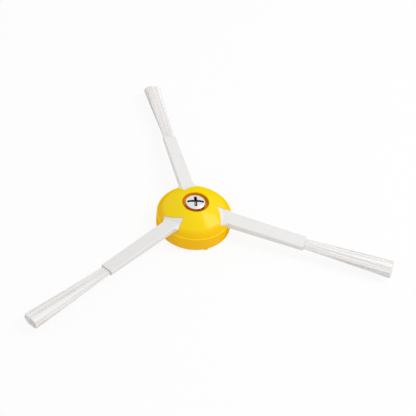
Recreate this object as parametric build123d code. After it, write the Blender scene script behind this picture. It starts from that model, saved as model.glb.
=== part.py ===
from build123d import *
import math
import os

# Side brush of a robot vacuum cleaner: a round moulded hub with a domed top, three soft arms
# moulded into it at equal angles, a tuft of bristles bonded in the end of each arm, and one
# screw that stands in a recess at the middle.
# Millimetres, +Z up. The origin is on the hub's axis, in the plane that the hub stands on.

# Reach
arm_count = 3
first_arm_angle = 90.0          # degrees from +X to the first arm
sweep_radius = 84.0             # axis to the tips of the bristles
sleeve_end_radius = 47.2        # axis to the mouth of an arm

# Hub, outside
hub_height = 13.3               # standing plane to the rim of the screw recess
skirt_radius = 15.6
skirt_clearance = 0.9           # lower edge of the skirt above the standing plane
ledge_height = 7.0              # top of the skirt
ledge_width = 0.5               # flat round the foot of the dome
shoulder_inset = 2.6            # where the dome's two arcs meet, inside its foot
shoulder_drop = 3.5             # the same place, below the rim
dome_slope = 0.45               # fall of the dome's face where it leaves the rim
edge_round = 0.3                # rounding of the skirt's two edges

# Hub, inside
recess_radius = 5.5             # recess that takes the screw's head
recess_depth = 2.3
lip_radius = 0.3                # rounding of the recess's rim
cavity_roof_height = 4.6        # hollow underside, up to its roof
skirt_wall = 1.7
boss_radius = 5.6               # middle boss round the drive socket
rib_count = 3
rib_width = 1.8
rib_inset = 0.5                 # end of a rib inside the skirt's outer face
rib_turn = 7.0                  # degrees, from midway between two arms to a rib
socket_across_flats = 6.2       # rounded square that takes the drive shaft
socket_corner_radius = 0.6
socket_depth = 6.0

# Screw
head_radius = 4.0
head_height = 2.9
head_rim_height = 2.1           # straight side of the head, below its crown
thread_radius = 1.95
neck_relief = 0.2               # plain shank under the head, thinner than the thread
thread_tip_height = 0.8         # end of the thread above the standing plane
thread_length = 4.6
tip_chamfer = 0.5
screw_hole_clearance = 0.15     # round the thread, in the hub's hole
cross_span = 5.6                # cross recess in the head, tip to tip
cross_width = 1.25
cross_depth = 1.6
cross_taper = 14.0              # degrees, narrowing of the recess with depth
slot_span = 6.9                 # straight slot through the cross
slot_width = 1.0
slot_depth = 1.1
recess_turn = -11.0             # degrees, where the screw came to rest when it was driven

# Arms: a bar that tapers in width and thickness from the hub to its mouth
bar_root_width = 6.2
bar_end_width = 6.0
bar_root_top = 9.5              # height of the bar's upper face where it leaves the skirt
bar_root_bottom = 6.5           # height of its lower face there, let into the skirt
bar_end_top = 7.05
bar_end_thickness = 2.35
bar_tilt = 9.0                  # degrees, fall of an arm's faces to its clockwise side
bar_corner_radius = 0.6
bar_start_radius = 7.4          # inner end of the bar, buried in the hub
anchor_hole_radius = 0.9        # the hub's plastic keys the bar through this hole
anchor_hole_place = 9.0         # along the arm

# Root of an arm, seen from above: along the arm, then across it (positive anticlockwise)
notch_tip = (8.7, 2.3)          # innermost point where the arm shows
notch_middle = (10.9, -0.8)     # on the dome's edge over the arm
notch_end = (12.6, -5.5)
root_recess = 0.2               # root's upper face below the dome's face
gusset_reach = 17.5             # the gusset on the clockwise side dies out here
gusset_slope = 18.0             # degrees, fall of its upper face away from the bar
flare_reach = 13.2              # on the other side the root fills the notch up to here
flare_slope = 30.0              # degrees, fall of its upper face there
relief_angle = 22.0             # degrees, between the arm and the notch's edge on that side
relief_step = 0.7               # floor of the gap that is left there, above the ledge

# Bristles
mouth_wall = 0.45               # wall of an arm round the pocket that holds a tuft
pocket_depth = 6.0
tuft_tip_height = 4.3           # middle of a tuft's end above the standing plane
tuft_tip_width = 7.0
tuft_tip_thickness = 4.2
bristle_columns = 16
bristle_rows = 5
bristle_radius = 0.115
bristle_bed = 1.0               # depth of the bristles in the tuft's bonded root
bristle_margin = 0.2            # pocket's wall to the middle of the nearest bristle
bristle_stagger = 1.6           # spread of the bristles' lengths
bristle_shuffle = 2.4           # radians, sets how lengths vary from bristle to bristle

# Worked out from the sizes above
recess_floor = hub_height - recess_depth
dome_base_radius = skirt_radius - ledge_width
screw_hole_radius = thread_radius + screw_hole_clearance
neck_radius = thread_radius - neck_relief
pocket_width = bar_end_width - 2 * mouth_wall
pocket_height = bar_end_thickness - 2 * mouth_wall
bar_end_bottom = bar_end_top - bar_end_thickness
bar_end_middle = bar_end_top - bar_end_thickness / 2
overshoot = 5.0                 # how far cutting shapes pass what they cut


def standing(radius, height):
    """Upright cylinder on the standing plane."""
    return Cylinder(radius, height, align=(Align.CENTER, Align.CENTER, Align.MIN))


def revolved(outline):
    """Solid of revolution about the axis, from a closed outline of radius and height."""
    return revolve(Plane.XZ * make_face(outline), axis=Axis.Z)


def dome(drop=0.0):
    """Domed body above the ledge, its upper face lowered by drop."""
    rim = hub_height - drop
    lip_foot = (recess_radius, rim - lip_radius)
    lip_top = (recess_radius + lip_radius, rim)
    foot = (dome_base_radius, ledge_height)
    lip = RadiusArc(lip_foot, lip_top, lip_radius)
    shoulder = (dome_base_radius - shoulder_inset, rim - shoulder_drop)
    crown = TangentArc(lip_top, shoulder, tangent=(1, -dome_slope))
    side = TangentArc(shoulder, foot, tangent=crown % 1)
    rest = Polyline(foot, (0, ledge_height), (0, rim - lip_radius), lip_foot)
    return revolved(lip + crown + side + rest)


def skirt():
    """Round skirt below the ledge, hollow underneath, with a middle boss and radial ribs."""
    body = Pos(0, 0, skirt_clearance) * standing(skirt_radius, ledge_height - skirt_clearance)
    body = fillet(body.edges().filter_by(GeomType.CIRCLE), edge_round)
    hollow = standing(skirt_radius - skirt_wall, cavity_roof_height)
    boss = standing(boss_radius, cavity_roof_height)
    rib = Box(
        skirt_radius - rib_inset, rib_width, cavity_roof_height, align=(Align.MIN, Align.CENTER, Align.MIN)
    )
    first_rib = first_arm_angle + 180 / rib_count + rib_turn
    ribs = [Rot(0, 0, first_rib + k * 360 / rib_count) * rib for k in range(rib_count)]
    return body - hollow + boss + ribs


def drive_socket():
    """Rounded square hole for the drive shaft, open at the standing plane."""
    square = RectangleRounded(socket_across_flats, socket_across_flats, socket_corner_radius)
    return extrude(square, socket_depth)


def hub_blank():
    """Hub with its screw recess and drive socket, before the arms are let in."""
    recess = Pos(0, 0, recess_floor) * standing(recess_radius, recess_depth + overshoot)
    hole = standing(screw_hole_radius, hub_height)
    return dome() + skirt() - recess - hole - drive_socket()


def along_bar(place, at_skirt, at_mouth):
    """Value at a place along the bar, on the straight line from the skirt to the mouth."""
    share = (place - skirt_radius) / (sleeve_end_radius - skirt_radius)
    return at_skirt + share * (at_mouth - at_skirt)


def bar_half_width(place):
    """Half of the bar's width at a place along it."""
    return along_bar(place, bar_root_width, bar_end_width) / 2


def bar_flat_half(place):
    """Half of the flat on the bar's upper face, between its rounded edges."""
    return bar_half_width(place) - bar_corner_radius


def bar_top(place, across):
    """Height of the bar's tilted upper face."""
    return along_bar(place, bar_root_top, bar_end_top) + across * math.tan(math.radians(bar_tilt))


def bar_slab():
    """Everything between the planes of the bar's upper and lower faces."""
    side = Polyline(
        (bar_start_radius, bar_top(bar_start_radius, 0)),
        (sleeve_end_radius, bar_end_top),
        (sleeve_end_radius, bar_end_bottom),
        (bar_start_radius, along_bar(bar_start_radius, bar_root_bottom, bar_end_bottom)),
        close=True,
    )
    turn = math.radians(bar_tilt)
    across = Vector(0, math.cos(turn), math.sin(turn))
    edge = Pos(across * -skirt_radius) * (Plane.XZ * make_face(side))
    return extrude(edge, 2 * skirt_radius, dir=across)


def bar():
    """Tapered bar of one arm, along +X."""
    start = bar_half_width(bar_start_radius)
    mouth = bar_half_width(sleeve_end_radius)
    plan = Polyline(
        (bar_start_radius, start),
        (bar_start_radius, -start),
        (sleeve_end_radius, -mouth),
        (sleeve_end_radius, mouth),
        close=True,
    )
    block = extrude(make_face(plan), hub_height) & bar_slab()
    long_edges = block.edges().filter_by(lambda edge: abs(edge.tangent_at(0.5).X) > 0.5)
    return fillet(long_edges, bar_corner_radius)


def fall_away(side, slope):
    """Space above the root where its upper face falls away beside the bar."""
    start = bar_start_radius
    crest = side * bar_flat_half(start)
    crest_height = bar_top(start, crest)
    far = crest + side * skirt_radius
    fall = skirt_radius * math.tan(math.radians(slope))
    above = Polyline(
        (crest, crest_height),
        (crest, crest_height + overshoot),
        (far, crest_height + overshoot),
        (far, crest_height - fall),
        close=True,
    )
    section = Plane(origin=(start, 0, 0), x_dir=(0, 1, 0), z_dir=(1, 0, 0))
    run = Vector(sleeve_end_radius - start, 0, bar_end_top - bar_top(start, 0))
    return extrude(section * make_face(above), run.length, dir=run.normalized())


def root_slab():
    """The bar's slab with its upper face falling away on both sides."""
    return bar_slab() - fall_away(-1, gusset_slope) - fall_away(1, flare_slope)


def relief_edge(place):
    """The notch's edge on the relief's side, at a place along the arm."""
    tip_along, tip_across = notch_tip
    return (place, tip_across + (place - tip_along) * math.tan(math.radians(relief_angle)))


def root_corner():
    """Outer end of the root on the relief's side, where the bar's edge starts to round."""
    return (skirt_radius, bar_flat_half(skirt_radius))


def root_outline():
    """Root of an arm seen from above: the dome's edge over it, a gusset and a flare beside it."""
    gusset_end = (gusset_reach, -bar_flat_half(gusset_reach))
    edge = ThreePointArc(notch_tip, notch_middle, notch_end)
    gusset = TangentArc(gusset_end, notch_end, tangent=(-1, 0))
    back = Polyline(gusset_end, root_corner(), relief_edge(flare_reach), notch_tip)
    return make_face(edge + gusset + back)


def root():
    """Root block of an arm, just below the dome's face or level with the bar."""
    column = extrude(root_outline(), hub_height)
    return column & (dome(root_recess) + root_slab())


def notch():
    """Opening in the dome over an arm, with a wedge-shaped gap beside it so that it can bend."""
    reach = skirt_radius + overshoot
    wedge = Polyline(notch_tip, root_corner(), (reach, 0), relief_edge(reach), close=True)
    over_root = Pos(0, 0, ledge_height) * extrude(root_outline(), hub_height)
    beside_bar = Pos(0, 0, ledge_height + relief_step) * extrude(make_face(wedge), hub_height)
    return over_root + beside_bar


def pocket():
    """Space in the arm's mouth that the tuft's bonded root fills."""
    block = Box(
        pocket_depth, pocket_width, pocket_height, align=(Align.MAX, Align.CENTER, Align.CENTER)
    )
    return Pos(sleeve_end_radius, 0, bar_end_middle) * Rot(bar_tilt, 0, 0) * block


def arm():
    """One soft arm along +X."""
    anchor_hole = Pos(anchor_hole_place, 0, 0) * standing(anchor_hole_radius, hub_height)
    return bar() + root() - anchor_hole - pocket()


def in_tuft(place, middle, across, up):
    """Point of a tuft at a place along the arm, offset from its middle in the tilted section."""
    turn = math.radians(bar_tilt)
    side = across * math.cos(turn) - up * math.sin(turn)
    rise = across * math.sin(turn) + up * math.cos(turn)
    return Vector(place, side, middle + rise)


def bristle(column, row):
    """One straight bristle of six flat sides, fanning out; every other row is shifted by half a step."""
    shift = 0.5 * (row % 2)
    across = (column + shift) / (bristle_columns - 0.5) - 0.5
    up = row / (bristle_rows - 1) - 0.5
    shortfall = math.sin(bristle_shuffle * (column + bristle_columns * row)) ** 2
    start_width = pocket_width - 2 * bristle_margin
    start_height = pocket_height - 2 * bristle_margin
    start = in_tuft(
        sleeve_end_radius - bristle_bed, bar_end_middle, across * start_width, up * start_height
    )
    tip = sweep_radius - bristle_stagger * shortfall
    end = in_tuft(tip, tuft_tip_height, across * tuft_tip_width, up * tuft_tip_thickness)
    plane = Plane(origin=start, x_dir=(0, 1, 0), z_dir=(1, 0, 0))
    run = end - start
    return extrude(plane * RegularPolygon(bristle_radius, 6), run.length, dir=run.normalized())


def tuft():
    """Bristles of one arm, bonded together in the arm's mouth."""
    bristles = [bristle(column, row) for column in range(bristle_columns) for row in range(bristle_rows)]
    return pocket() + bristles


def screw():
    """Pan-headed screw with a slotted cross recess, a plain neck and a threaded end."""
    top = recess_floor + head_height
    crown_height = head_height - head_rim_height
    outline = Polyline(
        (0, thread_tip_height),
        (thread_radius - tip_chamfer, thread_tip_height),
        (thread_radius, thread_tip_height + tip_chamfer),
        (thread_radius, thread_tip_height + thread_length),
        (neck_radius, thread_tip_height + thread_length),
        (neck_radius, recess_floor),
        (head_radius, recess_floor),
        (head_radius, recess_floor + head_rim_height),
    )
    crown_radius = (head_radius**2 + crown_height**2) / (2 * crown_height)
    crown = RadiusArc((head_radius, recess_floor + head_rim_height), (0, top), -crown_radius)
    core = Line((0, top), (0, thread_tip_height))
    wing = Rectangle(cross_span, cross_width)
    cross = extrude(Pos(0, 0, top) * (wing + Rot(0, 0, 90) * wing), -cross_depth, taper=cross_taper)
    slot = extrude(Pos(0, 0, top) * Rectangle(slot_span, slot_width), -slot_depth)
    return revolved(outline + crown + core) - Rot(0, 0, recess_turn) * (cross + slot)


def turns():
    """Turn about the axis for each arm."""
    return [Rot(0, 0, first_arm_angle + k * 360 / arm_count) for k in range(arm_count)]


def main():
    os.makedirs("parts", exist_ok=True)
    one_arm = arm()
    one_tuft = tuft()
    hub = hub_blank() - [turn * notch() for turn in turns()]
    for number, turn in enumerate(turns(), start=1):
        placed = turn * one_arm
        hub = hub - placed
        export_step(placed, f"parts/arm_{number}.step")
        export_step(turn * one_tuft, f"parts/bristle_tuft_{number}.step")
    export_step(hub, "parts/hub.step")
    export_step(screw(), "parts/fixing_screw.step")


main()
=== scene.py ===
import bpy
import math
import random
from mathutils import Matrix, Vector


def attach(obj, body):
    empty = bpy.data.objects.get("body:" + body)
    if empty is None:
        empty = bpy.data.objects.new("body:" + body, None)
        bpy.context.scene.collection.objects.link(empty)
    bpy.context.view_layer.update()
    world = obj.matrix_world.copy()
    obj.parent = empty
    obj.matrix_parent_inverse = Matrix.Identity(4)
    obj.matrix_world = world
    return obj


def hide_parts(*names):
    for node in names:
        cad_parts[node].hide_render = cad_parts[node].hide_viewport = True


# Side brush of a robot vacuum cleaner: yellow moulded hub, three soft white arms, a tuft of fine
# bristles in the mouth of each arm, and a bright screw in the middle.
# Lengths are in millimetres until they become meshes, lamps or texture scales, which are in metres.
# Colours are red, green and blue from 0 to 1.

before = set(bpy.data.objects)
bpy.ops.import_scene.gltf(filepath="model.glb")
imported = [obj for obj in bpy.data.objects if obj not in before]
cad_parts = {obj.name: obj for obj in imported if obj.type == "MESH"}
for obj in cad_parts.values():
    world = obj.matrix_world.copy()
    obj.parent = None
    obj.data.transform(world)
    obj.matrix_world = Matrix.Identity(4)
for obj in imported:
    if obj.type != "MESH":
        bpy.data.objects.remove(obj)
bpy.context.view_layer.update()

mm = 0.001
white = (1.0, 1.0, 1.0)

# Camera
view_elevation = 45.82          # degrees above the floor
view_turn = -19.55              # degrees round the hub's axis
view_roll = 7.41                # degrees
view_distance = 389.25
view_offset = (5.12, -2.38)     # to the right and up, in the picture's own directions
view_height = 13.0              # height of the point that the camera is placed from
view_lens = 82.13
view_sensor = 36.0
view_start = 10.0               # nothing nearer to the camera is shown

# Light
sky_light = 0.79                # brightness of the surroundings as a source of light
key_direction = (0.594, -0.13, 0.794)
key_long_side = (0.466, 0.243, -0.31)
key_distance = 600.0
key_size = (330.0, 150.0)
key_power = 1.2                 # watts
floor_half_size = 3000.0
floor_colour = (0.86, 0.86, 0.86, 1.0)
floor_glow = 0.88               # share of the white floor that the camera sees without shadow
lit_radius = 14.0               # round patch of the floor that lets light into the hub's hollow
lit_edge = 1.0                  # soft edge of that patch

# Screw, as far as its finish needs it
head_foot = 11.0                # lower face of the head above the floor
head_fade = 0.5                 # the tint of the head's side ends over this height below that face

# Arms, as far as the bristles need them
arm_count = 3
first_arm_angle = 90.0          # degrees
mouth_radius = 47.2             # hub's axis to the mouth of an arm
mouth_height = 5.875            # middle of the mouth above the floor
pocket_width = 5.1
pocket_height = 1.45
pocket_depth = 6.0
arm_tilt = 9.0                  # degrees, fall of an arm's faces to its clockwise side

# Tufts
sweep_radius = 84.0             # hub's axis to the longest tips
tip_height = 4.3
tip_width = 7.0                 # between the outermost filaments
tip_thickness = 4.2
section_power = 2.8             # 2 for an oval section, more for one with squarer corners
tuft_seeds = (8, 613, 20523)    # set how the filaments of each tuft fall

# Filaments
filament_columns = 44
filament_rows = 12
filament_radius = 0.085
filament_sides = 5
filament_rings = 7
filament_bed = 1.0              # depth of the filaments below the mouth
filament_jitter = 0.45          # share of a step that a filament may stray
filament_bow = 0.2              # how far a filament may bend out of its line
filament_stray = 0.04           # how far its tip may stray across, of the tuft's width
row_shift = 0.5                 # sideways shift of every second row, of a step
length_spread = 0.8             # how much shorter the shortest filaments are than the longest
root_gap = 0.06                 # filaments to the pocket's walls, at their bonded ends
root_width = pocket_width - 2 * (filament_radius + root_gap)
root_thickness = pocket_height - 2 * (filament_radius + root_gap)

# Loose strands that the filaments of a tuft gather in
strand_count = 13               # across a tuft, in each of two layers
strand_pull = 0.1               # how far tips gather to the middle of their strand
strand_lean = 0.22              # how far a strand's tip leans across the tuft
strand_lift = 0.12              # how far it leans up or down

# Bonded root and closely packed middle of a tuft
glue_depth = 0.05               # face of the bonded root below the arm's mouth
glue_gap = 0.02                 # bonded root to the pocket's walls
glue_round = 0.25               # rounding of its face
core_share = 1.0                # packed middle, of the tuft's width and thickness
core_end = 0.99                 # where it ends, of the tuft's length
core_rings = 6
core_sides = 24
core_shade = 0.5                # shade of both, from 0, dark, to 1, pale


def vector(values):
    """Unit vector along the given values."""
    return Vector(values).normalized()


def between(start, end, share):
    """Value at a share of the way from start to end."""
    return start + share * (end - start)


def circle(count):
    """Directions round a full turn."""
    angles = [2 * math.pi * number / count for number in range(count)]
    return [(math.cos(angle), math.sin(angle)) for angle in angles]


def set_camera():
    """Camera at the picture's own angle."""
    elevation = math.radians(view_elevation)
    turn = math.radians(view_turn)
    roll = math.radians(view_roll)
    outward = Vector((math.sin(turn), -math.cos(turn), 0))
    back = math.cos(elevation) * outward + Vector((0, 0, math.sin(elevation)))
    level = Vector((math.cos(turn), math.sin(turn), 0))
    rise = back.cross(level)
    right = math.cos(roll) * level + math.sin(roll) * rise
    up = math.cos(roll) * rise - math.sin(roll) * level
    middle = Vector((0, 0, view_height))
    place = view_distance * back + view_offset[0] * right + view_offset[1] * up + middle
    data = bpy.data.cameras.new("camera")
    data.lens = view_lens
    data.sensor_width = view_sensor
    data.clip_start = view_start * mm
    camera = bpy.data.objects.new("camera", data)
    axes = Matrix((right, up, back)).transposed().to_4x4()
    camera.matrix_world = Matrix.Translation(place * mm) @ axes
    bpy.context.scene.collection.objects.link(camera)
    bpy.context.scene.camera = camera


def add_lamp(name, direction, long_side, distance, size, power):
    """Soft rectangular lamp that faces the hub."""
    data = bpy.data.lights.new(name, "AREA")
    data.shape = "RECTANGLE"
    data.size = size[0] * mm
    data.size_y = size[1] * mm
    data.energy = power
    lamp = bpy.data.objects.new(name, data)
    back = vector(direction)
    up = back.cross(vector(long_side)).normalized()
    side = up.cross(back)
    axes = Matrix((side, up, back)).transposed().to_4x4()
    lamp.matrix_world = Matrix.Translation(back * distance * mm) @ axes
    lamp.visible_camera = False
    bpy.context.scene.collection.objects.link(lamp)


def add_node(tree, kind, **settings):
    """New shader node with its plain settings."""
    node = tree.nodes.new(kind)
    for name, value in settings.items():
        setattr(node, name, value)
    return node


def combine(tree, operation, first, second):
    """Product or larger of two factors."""
    node = add_node(tree, "ShaderNodeMath", operation=operation)
    tree.links.new(first, node.inputs[0])
    tree.links.new(second, node.inputs[1])
    return node.outputs[0]


def spread(tree, factor, low, high, start=0.0, end=1.0):
    """A factor between start and end carried to the range from low to high."""
    node = add_node(tree, "ShaderNodeMapRange")
    node.inputs["From Min"].default_value = start
    node.inputs["From Max"].default_value = end
    node.inputs["To Min"].default_value = low
    node.inputs["To Max"].default_value = high
    tree.links.new(factor, node.inputs["Value"])
    return node.outputs["Result"]


def own_place(tree):
    """Place of a point in the brush's frame, in metres."""
    return add_node(tree, "ShaderNodeTexCoord").outputs["Object"]


def from_origin(tree, place):
    """Distance of a place from the frame's origin."""
    node = add_node(tree, "ShaderNodeVectorMath", operation="LENGTH")
    tree.links.new(place, node.inputs[0])
    return node.outputs["Value"]


def upward(tree, direction):
    """Upward part of a place or a direction."""
    split = add_node(tree, "ShaderNodeSeparateXYZ")
    tree.links.new(direction, split.inputs[0])
    return split.outputs["Z"]


def upright(tree):
    """1 where a surface faces up, 0 on upright walls, less on faces that look down."""
    return upward(tree, add_node(tree, "ShaderNodeNewGeometry").outputs["Normal"])


def glancing(tree):
    """0 where a surface is seen squarely, 1 where the line of sight only grazes it."""
    weight = add_node(tree, "ShaderNodeLayerWeight")
    weight.inputs["Blend"].default_value = 0.5
    return weight.outputs["Facing"]


def seen_directly(tree):
    """1 where the camera, a reflection or a clear body looks, 0 where the surface only gives light."""
    path = add_node(tree, "ShaderNodeLightPath").outputs
    mirrored = combine(tree, "MAXIMUM", path["Is Glossy Ray"], path["Is Transmission Ray"])
    return combine(tree, "MAXIMUM", path["Is Camera Ray"], mirrored)


def set_world():
    """White surroundings that light the brush evenly."""
    world = bpy.data.worlds.new("studio")
    world.use_nodes = True
    tree = world.node_tree
    background = tree.nodes["Background"]
    background.inputs["Color"].default_value = (*white, 1)
    strength = spread(tree, seen_directly(tree), low=sky_light, high=1.0)
    tree.links.new(strength, background.inputs["Strength"])
    bpy.context.scene.world = world


def lets_light_up(tree, geometry):
    """1 where light passes the floor: from below, and under the hub, so that the hollow isn't black."""
    reach = from_origin(tree, geometry.outputs["Position"])
    edge = (lit_radius + lit_edge) * mm
    patch = spread(tree, reach, low=1.0, high=0.0, start=lit_radius * mm, end=edge)
    unseen = spread(tree, seen_directly(tree), low=1.0, high=0.0)
    under_hub = combine(tree, "MULTIPLY", patch, unseen)
    return combine(tree, "MAXIMUM", under_hub, geometry.outputs["Backfacing"])


def floor_material():
    """White floor: it keeps a faint shadow, and from below it is clear."""
    material = bpy.data.materials.new("studio_floor")
    material.use_nodes = True
    tree = material.node_tree
    tree.nodes.clear()
    plain = add_node(tree, "ShaderNodeBsdfDiffuse")
    plain.inputs["Color"].default_value = floor_colour
    glow = add_node(tree, "ShaderNodeEmission")
    clear = add_node(tree, "ShaderNodeBsdfTransparent")
    lit = add_node(tree, "ShaderNodeMixShader")
    sided = add_node(tree, "ShaderNodeMixShader")
    geometry = add_node(tree, "ShaderNodeNewGeometry")
    out = add_node(tree, "ShaderNodeOutputMaterial")
    share = spread(tree, seen_directly(tree), low=0.0, high=floor_glow)
    tree.links.new(share, lit.inputs["Fac"])
    tree.links.new(plain.outputs[0], lit.inputs[1])
    tree.links.new(glow.outputs[0], lit.inputs[2])
    tree.links.new(lets_light_up(tree, geometry), sided.inputs["Fac"])
    tree.links.new(lit.outputs[0], sided.inputs[1])
    tree.links.new(clear.outputs[0], sided.inputs[2])
    tree.links.new(sided.outputs[0], out.inputs["Surface"])
    return material


def add_floor():
    """Plain floor under the hub."""
    half = floor_half_size * mm
    corners = [(-half, -half, 0), (half, -half, 0), (half, half, 0), (-half, half, 0)]
    mesh = bpy.data.meshes.new("floor")
    mesh.from_pydata(corners, [], [(0, 1, 2, 3)])
    mesh.materials.append(floor_material())
    floor = bpy.data.objects.new("floor", mesh)
    bpy.context.scene.collection.objects.link(floor)


def new_material(name):
    """New material with its tree and its main shader."""
    material = bpy.data.materials.new(name)
    material.use_nodes = True
    tree = material.node_tree
    return material, tree, tree.nodes["Principled BSDF"]


def noise(tree, size, detail=2.0):
    """Cloudy pattern with features of about the given size in millimetres."""
    pattern = add_node(tree, "ShaderNodeTexNoise")
    pattern.inputs["Scale"].default_value = 1 / (size * mm)
    pattern.inputs["Detail"].default_value = detail
    tree.links.new(own_place(tree), pattern.inputs["Vector"])
    return pattern.outputs["Fac"]


def cloudy(tree, size, low, high):
    """Factor that varies from about low to about high in clouds of the given size in millimetres."""
    return spread(tree, noise(tree, size), low, high)


def occlusion(tree, reach):
    """1 on open surfaces, less in gaps and recesses up to the given reach in millimetres."""
    node = add_node(tree, "ShaderNodeAmbientOcclusion", samples=8)
    node.inputs["Distance"].default_value = reach * mm
    return node.outputs["AO"]


def ramp(tree, factor, stops):
    """Colours placed along a factor."""
    node = add_node(tree, "ShaderNodeValToRGB")
    elements = node.color_ramp.elements
    while len(elements) < len(stops):
        elements.new(0.5)
    for element, (position, colour) in zip(elements, stops):
        element.position = position
        element.color = (*colour, 1)
    tree.links.new(factor, node.inputs["Fac"])
    return node.outputs["Color"]


def multiply(tree, colour, factor):
    """Colour darkened or lightened by a factor."""
    node = add_node(tree, "ShaderNodeVectorMath", operation="SCALE")
    tree.links.new(colour, node.inputs[0])
    tree.links.new(factor, node.inputs["Scale"])
    return node.outputs["Vector"]


def tinted(tree, colour, tint):
    """Colour seen through a tint."""
    node = add_node(tree, "ShaderNodeVectorMath", operation="MULTIPLY")
    tree.links.new(colour, node.inputs[0])
    tree.links.new(tint, node.inputs[1])
    return node.outputs["Vector"]


def coat(tree, shader, colour, shade, roughness):
    """Colour in lighter and darker shades, and a roughness that varies with the place."""
    tree.links.new(multiply(tree, colour, shade), shader.inputs["Base Color"])
    tree.links.new(roughness, shader.inputs["Roughness"])


def relief(tree, shader, grain, depth, edge):
    """Fine grain of the given size and depth over softly rounded edges, all in millimetres."""
    rounded = add_node(tree, "ShaderNodeBevel", samples=6)
    rounded.inputs["Radius"].default_value = edge * mm
    bump = add_node(tree, "ShaderNodeBump")
    bump.inputs["Distance"].default_value = depth * mm
    tree.links.new(noise(tree, grain, detail=3.0), bump.inputs["Height"])
    tree.links.new(rounded.outputs["Normal"], bump.inputs["Normal"])
    tree.links.new(bump.outputs["Normal"], shader.inputs["Normal"])


def yellow_plastic():
    """Satin moulded plastic, with painted shade: deeper orange on its walls and steep faces, and warmer in
    gaps that don't face the floor.
    """
    material, tree, shader = new_material("yellow_plastic")
    # Painted shade: the more a face turns from level to upright, the deeper orange its colour.
    wall = (0.97, 0.53, 0.001)
    steep = (0.95, 0.52, 0.001)
    sloping = (0.92, 0.54, 0.002)
    level = (0.9, 0.735, 0.006)
    painted_shade_by_slope = [(0.0, wall), (0.4, steep), (0.7, sloping), (1.0, level)]
    # Painted shade: warmer and darker colour in gaps and recesses, except on faces that look down.
    painted_deep_shade = (1.0, 0.25, 0.1)
    painted_gap_shade = (1.0, 0.55, 0.2)
    painted_corner_shade = (1.0, 0.8, 0.5)
    painted_shade_by_openness = [(0.0, painted_deep_shade), (0.2, painted_gap_shade), (0.4, painted_corner_shade), (0.65, white)]
    downward = spread(tree, upright(tree), low=1.0, high=0.0, start=-1.0, end=0.0)
    openness = combine(tree, "MAXIMUM", occlusion(tree, reach=3.0), downward)
    colour = tinted(tree, ramp(tree, upright(tree), painted_shade_by_slope), ramp(tree, openness, painted_shade_by_openness))
    shade = cloudy(tree, size=6.0, low=0.97, high=1.03)
    coat(tree, shader, colour, shade, cloudy(tree, size=2.0, low=0.13, high=0.17))
    gloss = spread(tree, glancing(tree), low=0.13, high=0.0, start=0.3, end=0.6)
    # Plain level for a copy of this finish in which the gloss can't vary
    shader.inputs["Specular IOR Level"].default_value = 0.1
    tree.links.new(gloss, shader.inputs["Specular IOR Level"])
    relief(tree, shader, grain=0.25, depth=0.003, edge=0.2)
    return material


def soft_white():
    """Soft white moulding of the arms, with painted shade that makes it a little darker in gaps."""
    material, tree, shader = new_material("soft_white")
    # Painted shade: a little darker and warmer where the arm is hemmed in by other parts.
    arm_gap_shade = (0.75, 0.725, 0.7)
    open_face = (0.785, 0.772, 0.758)
    colour = ramp(tree, occlusion(tree, reach=2.0), [(0.0, arm_gap_shade), (0.5, open_face)])
    shade = cloudy(tree, size=4.0, low=0.97, high=1.03)
    coat(tree, shader, colour, shade, cloudy(tree, size=1.5, low=0.36, high=0.5))
    shader.inputs["Specular IOR Level"].default_value = 0.25
    relief(tree, shader, grain=0.3, depth=0.006, edge=0.2)
    return material


def white_bristle():
    """Fine white filaments, paler towards their tips as painted light, each and each strand of them in its
    own shade.
    """
    material, tree, shader = new_material("white_bristle")
    # Painted light: filaments grow paler from the root towards the tips.
    root = (0.883, 0.876, 0.864)
    tip = (0.943, 0.936, 0.923)
    dark_strand = (0.89, 0.865, 0.86)
    reach = from_origin(tree, own_place(tree))
    along = spread(tree, reach, low=0.0, high=1.0, start=mouth_radius * mm, end=sweep_radius * mm)
    painted_tip_light = ramp(tree, along, [(0.0, root), (1.0, tip)])
    strand = add_node(tree, "ShaderNodeAttribute", attribute_name="strand_shade")
    tint = ramp(tree, strand.outputs["Fac"], [(0.0, dark_strand), (1.0, white)])
    each = add_node(tree, "ShaderNodeNewGeometry").outputs["Random Per Island"]
    shade = spread(tree, each, low=0.95, high=1.02)
    roughness = cloudy(tree, size=0.8, low=0.4, high=0.6)
    coat(tree, shader, tinted(tree, painted_tip_light, tint), shade, roughness)
    shader.inputs["Specular IOR Level"].default_value = 0.12
    return material


def bright_steel():
    """Plated steel of the screw, with painted shade inside the cross and a painted warm reflection of the
    shaded hub on the head's side.
    """
    material, tree, shader = new_material("bright_steel")
    # Painted shade: dark in the cross and other narrow recesses of the head.
    deep_cross_shade = (0.02, 0.006, 0.006)
    shadow = (0.06, 0.016, 0.014)
    steel = (0.77, 0.75, 0.76)
    painted_hub_reflection = (0.75, 0.42, 0.3)
    colour = ramp(tree, occlusion(tree, reach=1.3), [(0.0, deep_cross_shade), (0.5, shadow), (0.7, steel)])
    # Painted reflection and shade: the upright side of the head takes a dark warm tint, as the shaded hub
    # round it would mirror; the shank below the head keeps the plain steel.
    height = upward(tree, own_place(tree))
    fade = (head_foot - head_fade) * mm
    shank = spread(tree, height, low=1.0, high=0.0, start=fade, end=head_foot * mm)
    crown = combine(tree, "MAXIMUM", upright(tree), shank)
    tint = ramp(tree, crown, [(0.0, painted_hub_reflection), (0.5, white)])
    shade = cloudy(tree, size=1.0, low=0.94, high=1.04)
    roughness = cloudy(tree, size=0.4, low=0.22, high=0.36)
    coat(tree, shader, tinted(tree, colour, tint), shade, roughness)
    shader.inputs["Metallic"].default_value = 1.0
    relief(tree, shader, grain=0.2, depth=0.004, edge=0.12)
    return material


def paint(node_name, material):
    """New finish on a solid that keeps its shape."""
    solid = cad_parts[node_name]
    for place in solid.material_slots:
        place.material = material


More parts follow.
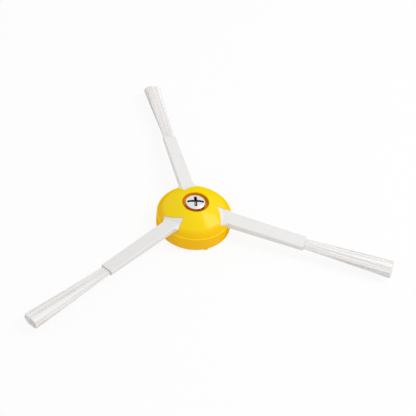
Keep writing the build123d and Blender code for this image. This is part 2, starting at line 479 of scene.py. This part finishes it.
def in_section(place, middle, across, up):
    """Point at a place along +X, offset from the middle in the arm's tilted section."""
    turn = math.radians(arm_tilt)
    side = across * math.cos(turn) - up * math.sin(turn)
    rise = across * math.sin(turn) + up * math.cos(turn)
    return Vector((place, side, middle + rise))


def add_body(shape, rings, shade):
    """Closed body through rings of points, in a shade from 0, dark, to 1, pale."""
    first = len(shape["points"])
    count = len(rings[0])
    for ring in rings:
        shape["points"].extend(ring)
        shape["shades"].extend([shade] * count)
    for number in range(len(rings) - 1):
        for corner in range(count):
            here = first + number * count + corner
            beside = first + number * count + (corner + 1) % count
            shape["faces"].append((here, beside, beside + count, here + count))
    last = len(shape["points"]) - count
    for end in (range(first + count - 1, first - 1, -1), range(last, last + count)):
        shape["ends"].append(len(shape["faces"]))
        shape["faces"].append(tuple(end))


def add_glue(shape):
    """Bonded root in the arm's pocket, with a softly rounded face."""
    half_width = pocket_width / 2 - glue_gap
    half_height = pocket_height / 2 - glue_gap
    face = mouth_radius - glue_depth
    third = glue_round / 3
    steps = [
        (mouth_radius - pocket_depth + glue_gap, 0.0),
        (face - glue_round, 0.0),
        (face - third, third),
        (face, glue_round),
    ]
    corners = ((1, -1), (1, 1), (-1, 1), (-1, -1))
    rings = []
    for place, inset in steps:
        wide = half_width - inset
        high = half_height - inset
        ring = [in_section(place, mouth_height, side * wide, rise * high) for side, rise in corners]
        rings.append(ring)
    add_body(shape, rings, core_shade)


def add_core(shape):
    """Closely packed filaments in the middle of a tuft, as one body that ends short of the tips."""
    rings = []
    for number in range(core_rings):
        share = core_end * number / (core_rings - 1)
        place = between(mouth_radius, sweep_radius, share)
        middle = between(mouth_height, tip_height, share)
        wide = core_share / 2 * between(root_width, tip_width, share)
        high = core_share / 2 * between(root_thickness, tip_thickness, share)
        ring = []
        for side, rise in circle(core_sides):
            across = math.copysign(abs(side) ** (2 / section_power), side)
            up = math.copysign(abs(rise) ** (2 / section_power), rise)
            ring.append(in_section(place, middle, across * wide, up * high))
        rings.append(ring)
    add_body(shape, rings, core_shade)


def strands(chance):
    """Each loose strand's middle with its lean, and its shade, in a lower and an upper layer."""
    layers = []
    for layer in ("lower", "upper"):
        row = []
        for number in range(strand_count):
            middle = (number + 0.5) / strand_count - 0.5
            lean_across = chance.gauss(0, strand_lean)
            lean_up = chance.gauss(0, strand_lift)
            row.append(((middle, lean_across, lean_up), chance.random()))
        layers.append(row)
    return layers


def filament_place(row, column, chance):
    """Where a filament lies in the tuft's section, from -0.5 to 0.5 across and up."""
    step = column + row_shift * (row % 2) + chance.uniform(-filament_jitter, filament_jitter)
    across = min(max(step / (filament_columns - 1 + row_shift), 0), 1) - 0.5
    rise = row + chance.uniform(-filament_jitter, filament_jitter)
    height = (1 - abs(2 * across) ** section_power) ** (1 / section_power)
    up = height * (min(max(rise / (filament_rows - 1), 0), 1) - 0.5)
    return across, up


def filament_path(across, up, strand, chance):
    """Line of one filament along +X, from the bonded root to its tip."""
    middle, lean_across, lean_up = strand
    bed = mouth_radius - filament_bed
    start = in_section(bed, mouth_height, across * root_width, up * root_thickness)
    gathered = across + strand_pull * (middle - across) + chance.gauss(0, filament_stray)
    reach = sweep_radius - length_spread * chance.random() ** 2
    end = in_section(reach, tip_height, gathered * tip_width + lean_across, up * tip_thickness + lean_up)
    bow = Vector((0, chance.uniform(-1, 1), chance.uniform(-1, 1))) * filament_bow
    path = []
    for ring in range(filament_rings):
        share = ring / (filament_rings - 1)
        path.append(start.lerp(end, share) + bow * math.sin(math.pi * share) * share)
    return path


def add_filament(shape, path, shade):
    """Closed thin rod along a path."""
    rim = [filament_radius * Vector((0, side, rise)) for side, rise in circle(filament_sides)]
    add_body(shape, [[point + offset for offset in rim] for point in path], shade)


def tuft_shape(chance):
    """Points and faces of one tuft along +X, with the faces that end its bodies and each point's shade."""
    shape = {"points": [], "faces": [], "ends": [], "shades": []}
    layers = strands(chance)
    add_glue(shape)
    add_core(shape)
    for row in range(filament_rows):
        for column in range(filament_columns):
            across, up = filament_place(row, column, chance)
            number = min(int((across + 0.5) * strand_count), strand_count - 1)
            strand, shade = layers[int(up > 0)][number]
            add_filament(shape, filament_path(across, up, strand, chance), shade)
    return shape


def tuft_mesh(name, shape, angle, material):
    """Mesh of a tuft turned to its arm, smooth along its filaments and flat at their ends."""
    turn = Matrix.Rotation(math.radians(angle), 4, "Z")
    mesh = bpy.data.meshes.new(name)
    mesh.from_pydata([turn @ point * mm for point in shape["points"]], [], shape["faces"])
    mesh.attributes.new("strand_shade", "FLOAT", "POINT").data.foreach_set("value", shape["shades"])
    mesh.materials.append(material)
    mesh.update()
    mesh.shade_smooth()
    for end in shape["ends"]:
        for corner in mesh.polygons[end].loop_indices:
            mesh.edges[mesh.loops[corner].edge_index].use_edge_sharp = True
    return mesh


def add_tuft(number, angle, material):
    """Bristles of one arm, in place of the solid's plain rods."""
    name = f"bristles_{number}"
    shape = tuft_shape(random.Random(tuft_seeds[number - 1]))
    tuft = bpy.data.objects.new(name, tuft_mesh(name, shape, angle, material))
    bpy.context.scene.collection.objects.link(tuft)
    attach(tuft, "root")
    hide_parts(f"bristle_tuft_{number}")


def main():
    """Camera, light and floor, then the finish of each solid and the bristles of each arm."""
    bpy.context.scene.view_settings.view_transform = "Standard"
    set_camera()
    set_world()
    add_floor()
    add_lamp("key", key_direction, key_long_side, key_distance, key_size, key_power)
    paint("hub", yellow_plastic())
    paint("fixing_screw", bright_steel())
    arm_finish = soft_white()
    bristle_finish = white_bristle()
    for number in range(1, arm_count + 1):
        paint(f"arm_{number}", arm_finish)
        add_tuft(number, first_arm_angle + (number - 1) * 360 / arm_count, bristle_finish)


main()
